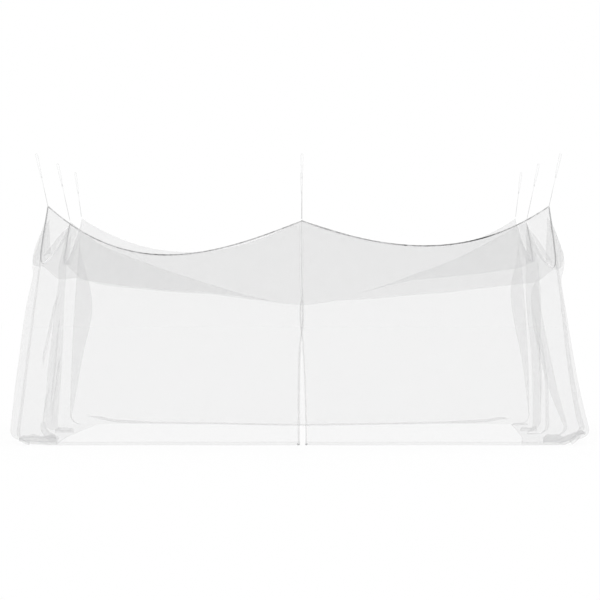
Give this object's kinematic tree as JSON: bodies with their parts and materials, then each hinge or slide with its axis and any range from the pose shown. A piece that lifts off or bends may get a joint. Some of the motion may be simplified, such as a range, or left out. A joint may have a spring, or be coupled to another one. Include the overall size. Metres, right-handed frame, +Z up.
{
  "type": "garden mosquito net",
  "caption": "White sheer rectangular mosquito net hung by corner and middle cords, with a sagging roof, loose side walls tucked in over the floor and a slit in the front.",
  "frame": {"origin": "middle of the plane through the tops of the hanging loops", "axes": "+Z up, +X along the long side, -Y towards the front with the slit"},
  "size_m": [4.7261, 3.1287, 2.323],
  "materials": {
    "net": "sheer fine mesh",
    "binding": "matt woven tape",
    "cord": "matt"
  },
  "bodies": {
    "root": {"roof": "net", "front_left_panel": "net", "front_right_panel": "net", "left_wall": "net", "right_wall": "net", "back_wall": "net", "front_binding": "binding", "back_binding": "binding", "left_binding": "binding", "right_binding": "binding", "front_left_cord": "cord", "front_middle_cord": "cord", "front_right_cord": "cord", "right_middle_cord": "cord", "back_right_cord": "cord", "back_middle_cord": "cord", "back_left_cord": "cord", "left_middle_cord": "cord"}
  },
  "joints": []
}
